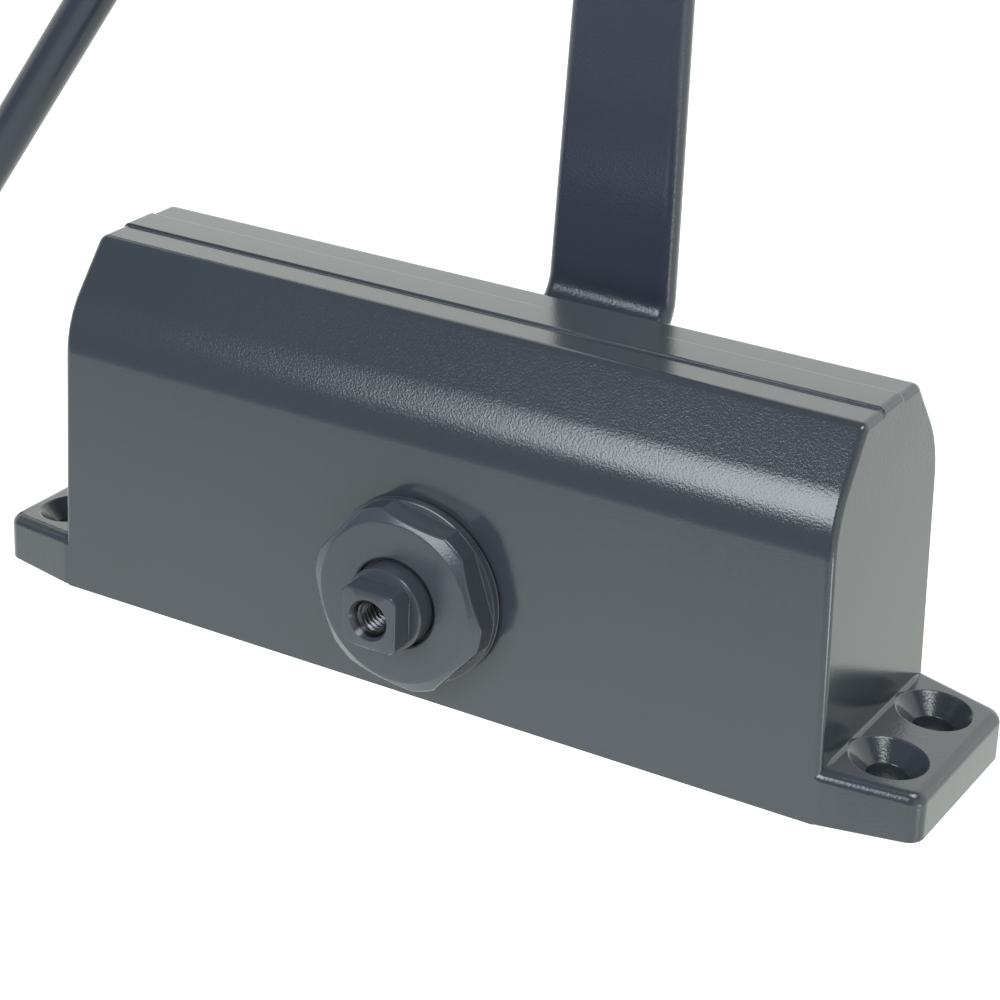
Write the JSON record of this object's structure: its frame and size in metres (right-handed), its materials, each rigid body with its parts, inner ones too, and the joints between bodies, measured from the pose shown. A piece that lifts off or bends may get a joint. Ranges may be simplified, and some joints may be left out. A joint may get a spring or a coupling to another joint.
{
  "type": "door closer",
  "caption": "Surface-mounted rack-and-pinion door closer: cast body on drilled feet, spring-loaded spindle, flat main arm and an adjustable forearm with a shoe.",
  "frame": {"origin": "centre of the four mounting holes, on the plane of the mounting face", "axes": "+X along the body away from the end plug, +Y along the spindle towards the arm, +Z away from the door"},
  "size_m": [0.3148, 0.0929, 0.2699],
  "materials": {
    "cast_body": "satin",
    "coated_steel": "satin",
    "zinc_steel": "satin",
    "bare_steel": "satin",
    "rubber": "matte"
  },
  "bodies": {
    "housing_body": {"housing": "cast_body", "end_plug": "zinc_steel", "plug_o_ring": "rubber", "front_bearing": "bare_steel", "rear_bearing": "bare_steel", "front_bearing_nut": "coated_steel", "rear_bearing_nut": "coated_steel", "front_shaft_seal": "rubber", "rear_shaft_seal": "rubber", "front_nut_o_ring": "rubber", "rear_nut_o_ring": "rubber", "main_spring": "bare_steel", "spring_seat": "bare_steel"},
    "spindle": {"pinion_spindle": "coated_steel", "main_arm": "coated_steel", "arm_washer": "zinc_steel", "arm_screw": "zinc_steel", "elbow_stud": "zinc_steel", "elbow_washer": "zinc_steel", "elbow_retaining_washer": "zinc_steel", "elbow_nut": "zinc_steel"},
    "piston": {"rack_piston": "bare_steel", "piston_seal": "rubber", "check_valve_seat": "zinc_steel", "check_valve_cage": "zinc_steel"},
    "check_ball": {"check_valve_ball": "bare_steel"},
    "forearm": {"forearm_socket": "coated_steel", "lock_nut": "zinc_steel"},
    "rod": {"forearm_rod": "coated_steel"},
    "shoe": {"shoe_bracket": "coated_steel", "shoe_pin": "zinc_steel", "shoe_washer": "zinc_steel"},
    "closing_screw": {"closing_valve": "zinc_steel", "closing_valve_o_ring": "rubber"},
    "latching_screw": {"latching_valve": "zinc_steel", "latching_valve_o_ring": "rubber"}
  },
  "joints": [
    {"name": "spindle_turn", "type": "hinge", "parent": "housing_body", "child": "spindle", "pos_m": [0, 0, 0.021], "axis": [0, 1, 0], "range_deg": [0, 140], "stiffness_Nm_per_rad": 6, "springref_deg": -148.97},
    {"name": "piston_slide", "type": "slide", "parent": "housing_body", "child": "piston", "axis": [1, 0, 0], "range_m": [0, 0.0215], "deforming": ["main_spring"]},
    {"name": "check_ball_slide", "type": "slide", "parent": "piston", "child": "check_ball", "axis": [1, 0, 0], "range_m": [0, 0.0007]},
    {"name": "elbow", "type": "hinge", "parent": "spindle", "child": "forearm", "pos_m": [0.0054, 0.032, 0.25894], "axis": [0, 1, 0], "range_deg": [-15, 110]},
    {"name": "forearm_length", "type": "slide", "parent": "forearm", "child": "rod", "axis": [-0.5736, 0, -0.8192], "range_m": [-0.012, 0.01]},
    {"name": "shoe_pivot", "type": "hinge", "parent": "rod", "child": "shoe", "pos_m": [-0.15979, 0.032, 0.02302], "axis": [0, 1, 0], "range_deg": [-60, 60]},
    {"name": "closing_valve_turn", "type": "hinge", "parent": "housing_body", "child": "closing_screw", "pos_m": [-0.074, -0.007, 0.054], "axis": [1, 0, 0], "range_deg": [0, 360]},
    {"name": "latching_valve_turn", "type": "hinge", "parent": "housing_body", "child": "latching_screw", "pos_m": [-0.074, 0.007, 0.054], "axis": [1, 0, 0], "range_deg": [0, 360]}
  ],
  "couplings": [
    {"joint": "piston_slide", "follows": "spindle_turn", "m_per_rad": 0.00875}
  ]
}
